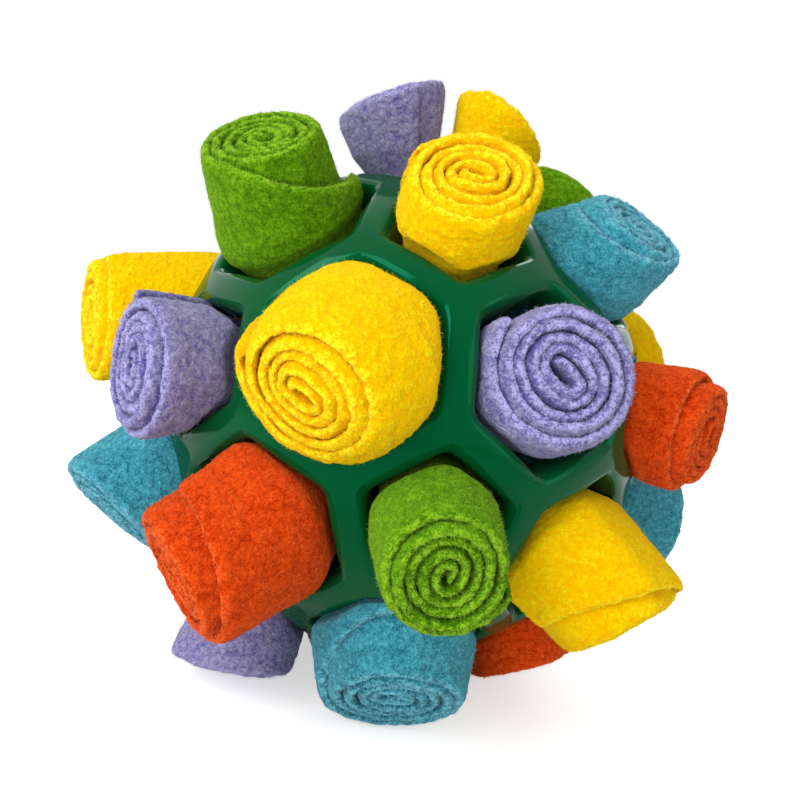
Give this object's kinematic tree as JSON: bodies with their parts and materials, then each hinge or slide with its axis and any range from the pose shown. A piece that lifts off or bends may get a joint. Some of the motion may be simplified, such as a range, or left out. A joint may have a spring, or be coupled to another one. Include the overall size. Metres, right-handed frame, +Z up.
{
  "type": "snuffle ball",
  "caption": "Snuffle ball for a pet: a moulded rubber lattice ball whose holes grip rolled strips of fleece that pull out, with treats hidden in their folds.",
  "frame": {"origin": "on the floor, straight below the centre of the ball, on the flat end of the lowest roll", "axes": "+Z up, -Y towards the viewer of the picture, +X to the viewer's right"},
  "size_m": [0.1548, 0.143, 0.1381],
  "materials": {
    "ball_rubber": "glossy moulded dark green rubber",
    "fleece_yellow": "yellow polar fleece with a short soft nap",
    "fleece_purple": "lavender polar fleece with a short soft nap",
    "fleece_orange": "orange polar fleece with a short soft nap",
    "fleece_green": "lime green polar fleece with a short soft nap",
    "fleece_blue": "sky blue polar fleece with a short soft nap"
  },
  "bodies": {
    "ball": {"lattice_ball": "ball_rubber"},
    "roll_bottom": {"roll_bottom": "fleece_purple"},
    "roll_high_back": {"roll_high_back": "fleece_green"},
    "roll_high_back_left": {"roll_high_back_left": "fleece_orange"},
    "roll_high_back_right": {"roll_high_back_right": "fleece_purple"},
    "roll_high_front": {"roll_high_front": "fleece_yellow"},
    "roll_high_front_left": {"roll_high_front_left": "fleece_purple"},
    "roll_high_front_right": {"roll_high_front_right": "fleece_purple"},
    "roll_high_left": {"roll_high_left": "fleece_yellow"},
    "roll_high_right": {"roll_high_right": "fleece_orange"},
    "roll_high_right_back": {"roll_high_right_back": "fleece_yellow"},
    "roll_low_back": {"roll_low_back": "fleece_yellow"},
    "roll_low_back_left": {"roll_low_back_left": "fleece_purple"},
    "roll_low_back_right": {"roll_low_back_right": "fleece_orange"},
    "roll_low_front": {"roll_low_front": "fleece_green"},
    "roll_low_front_left": {"roll_low_front_left": "fleece_orange"},
    "roll_low_front_right": {"roll_low_front_right": "fleece_yellow"},
    "roll_low_left": {"roll_low_left": "fleece_blue"},
    "roll_low_left_back": {"roll_low_left_back": "fleece_green"},
    "roll_low_right": {"roll_low_right": "fleece_blue"},
    "roll_lower_back": {"roll_lower_back": "fleece_blue"},
    "roll_lower_back_right": {"roll_lower_back_right": "fleece_green"},
    "roll_lower_front": {"roll_lower_front": "fleece_blue"},
    "roll_lower_front_left": {"roll_lower_front_left": "fleece_purple"},
    "roll_lower_front_right": {"roll_lower_front_right": "fleece_orange"},
    "roll_lower_left": {"roll_lower_left": "fleece_orange"},
    "roll_top_left": {"roll_top_left": "fleece_purple"},
    "roll_top_right": {"roll_top_right": "fleece_yellow"},
    "roll_upper_back": {"roll_upper_back": "fleece_orange"},
    "roll_upper_back_left": {"roll_upper_back_left": "fleece_blue"},
    "roll_upper_front": {"roll_upper_front": "fleece_yellow"},
    "roll_upper_front_right": {"roll_upper_front_right": "fleece_blue"},
    "roll_upper_left": {"roll_upper_left": "fleece_green"},
    "roll_upper_right": {"roll_upper_right": "fleece_green"}
  },
  "joints": [
    {"name": "roll_bottom_pull", "type": "slide", "parent": "ball", "child": "roll_bottom", "axis": [0, 0, -1], "range_m": [0, 0.05]},
    {"name": "roll_high_back_pull", "type": "slide", "parent": "ball", "child": "roll_high_back", "axis": [-0.1706, 0.9673, 0.1876], "range_m": [0, 0.05]},
    {"name": "roll_high_back_left_pull", "type": "slide", "parent": "ball", "child": "roll_high_back_left", "axis": [-0.698, 0.6338, 0.3333], "range_m": [0, 0.05]},
    {"name": "roll_high_back_right_pull", "type": "slide", "parent": "ball", "child": "roll_high_back_right", "axis": [0.4391, 0.8343, 0.3333], "range_m": [0, 0.05]},
    {"name": "roll_high_front_pull", "type": "slide", "parent": "ball", "child": "roll_high_front", "axis": [-0.1999, -0.9214, 0.3333], "range_m": [0, 0.05]},
    {"name": "roll_high_front_left_pull", "type": "slide", "parent": "ball", "child": "roll_high_front_left", "axis": [-0.7524, -0.6314, 0.1876], "range_m": [0, 0.05]},
    {"name": "roll_high_front_right_pull", "type": "slide", "parent": "ball", "child": "roll_high_front_right", "axis": [0.5029, -0.7975, 0.3333], "range_m": [0, 0.05]},
    {"name": "roll_high_left_pull", "type": "slide", "parent": "ball", "child": "roll_high_left", "axis": [-0.9421, -0.0368, 0.3333], "range_m": [0, 0.05]},
    {"name": "roll_high_right_pull", "type": "slide", "parent": "ball", "child": "roll_high_right", "axis": [0.923, -0.3359, 0.1876], "range_m": [0, 0.05]},
    {"name": "roll_high_right_back_pull", "type": "slide", "parent": "ball", "child": "roll_high_right_back", "axis": [0.8979, 0.2876, 0.3333], "range_m": [0, 0.05]},
    {"name": "roll_low_back_pull", "type": "slide", "parent": "ball", "child": "roll_low_back", "axis": [0.1999, 0.9214, -0.3333], "range_m": [0, 0.05]},
    {"name": "roll_low_back_left_pull", "type": "slide", "parent": "ball", "child": "roll_low_back_left", "axis": [-0.5029, 0.7975, -0.3333], "range_m": [0, 0.05]},
    {"name": "roll_low_back_right_pull", "type": "slide", "parent": "ball", "child": "roll_low_back_right", "axis": [0.7524, 0.6314, -0.1876], "range_m": [0, 0.05]},
    {"name": "roll_low_front_pull", "type": "slide", "parent": "ball", "child": "roll_low_front", "axis": [0.1706, -0.9673, -0.1876], "range_m": [0, 0.05]},
    {"name": "roll_low_front_left_pull", "type": "slide", "parent": "ball", "child": "roll_low_front_left", "axis": [-0.4391, -0.8343, -0.3333], "range_m": [0, 0.05]},
    {"name": "roll_low_front_right_pull", "type": "slide", "parent": "ball", "child": "roll_low_front_right", "axis": [0.698, -0.6338, -0.3333], "range_m": [0, 0.05]},
    {"name": "roll_low_left_pull", "type": "slide", "parent": "ball", "child": "roll_low_left", "axis": [-0.8979, -0.2876, -0.3333], "range_m": [0, 0.05]},
    {"name": "roll_low_left_back_pull", "type": "slide", "parent": "ball", "child": "roll_low_left_back", "axis": [-0.923, 0.3359, -0.1876], "range_m": [0, 0.05]},
    {"name": "roll_low_right_pull", "type": "slide", "parent": "ball", "child": "roll_low_right", "axis": [0.9421, 0.0368, -0.3333], "range_m": [0, 0.05]},
    {"name": "roll_lower_back_pull", "type": "slide", "parent": "ball", "child": "roll_lower_back", "axis": [-0.1054, 0.5978, -0.7947], "range_m": [0, 0.05]},
    {"name": "roll_lower_back_right_pull", "type": "slide", "parent": "ball", "child": "roll_lower_back_right", "axis": [0.5107, 0.4285, -0.7454], "range_m": [0, 0.05]},
    {"name": "roll_lower_front_pull", "type": "slide", "parent": "ball", "child": "roll_lower_front", "axis": [0.1158, -0.6565, -0.7454], "range_m": [0, 0.05]},
    {"name": "roll_lower_front_left_pull", "type": "slide", "parent": "ball", "child": "roll_lower_front_left", "axis": [-0.465, -0.3902, -0.7947], "range_m": [0, 0.05]},
    {"name": "roll_lower_front_right_pull", "type": "slide", "parent": "ball", "child": "roll_lower_front_right", "axis": [0.5705, -0.2076, -0.7947], "range_m": [0, 0.05]},
    {"name": "roll_lower_left_pull", "type": "slide", "parent": "ball", "child": "roll_lower_left", "axis": [-0.6265, 0.228, -0.7454], "range_m": [0, 0.05]},
    {"name": "roll_top_left_pull", "type": "slide", "parent": "ball", "child": "roll_top_left", "axis": [0, 0, 1], "range_m": [0, 0.05]},
    {"name": "roll_top_right_pull", "type": "slide", "parent": "ball", "child": "roll_top_right", "axis": [0, 0, 1], "range_m": [0, 0.05]},
    {"name": "roll_upper_back_pull", "type": "slide", "parent": "ball", "child": "roll_upper_back", "axis": [-0.1158, 0.6565, 0.7454], "range_m": [0, 0.05]},
    {"name": "roll_upper_back_left_pull", "type": "slide", "parent": "ball", "child": "roll_upper_back_left", "axis": [-0.5705, 0.2076, 0.7947], "range_m": [0, 0.05]},
    {"name": "roll_upper_front_pull", "type": "slide", "parent": "ball", "child": "roll_upper_front", "axis": [0.1054, -0.5978, 0.7947], "range_m": [0, 0.05]},
    {"name": "roll_upper_front_right_pull", "type": "slide", "parent": "ball", "child": "roll_upper_front_right", "axis": [0.6265, -0.228, 0.7454], "range_m": [0, 0.05]},
    {"name": "roll_upper_left_pull", "type": "slide", "parent": "ball", "child": "roll_upper_left", "axis": [-0.5107, -0.4285, 0.7454], "range_m": [0, 0.05]},
    {"name": "roll_upper_right_pull", "type": "slide", "parent": "ball", "child": "roll_upper_right", "axis": [0.465, 0.3902, 0.7947], "range_m": [0, 0.05]}
  ]
}
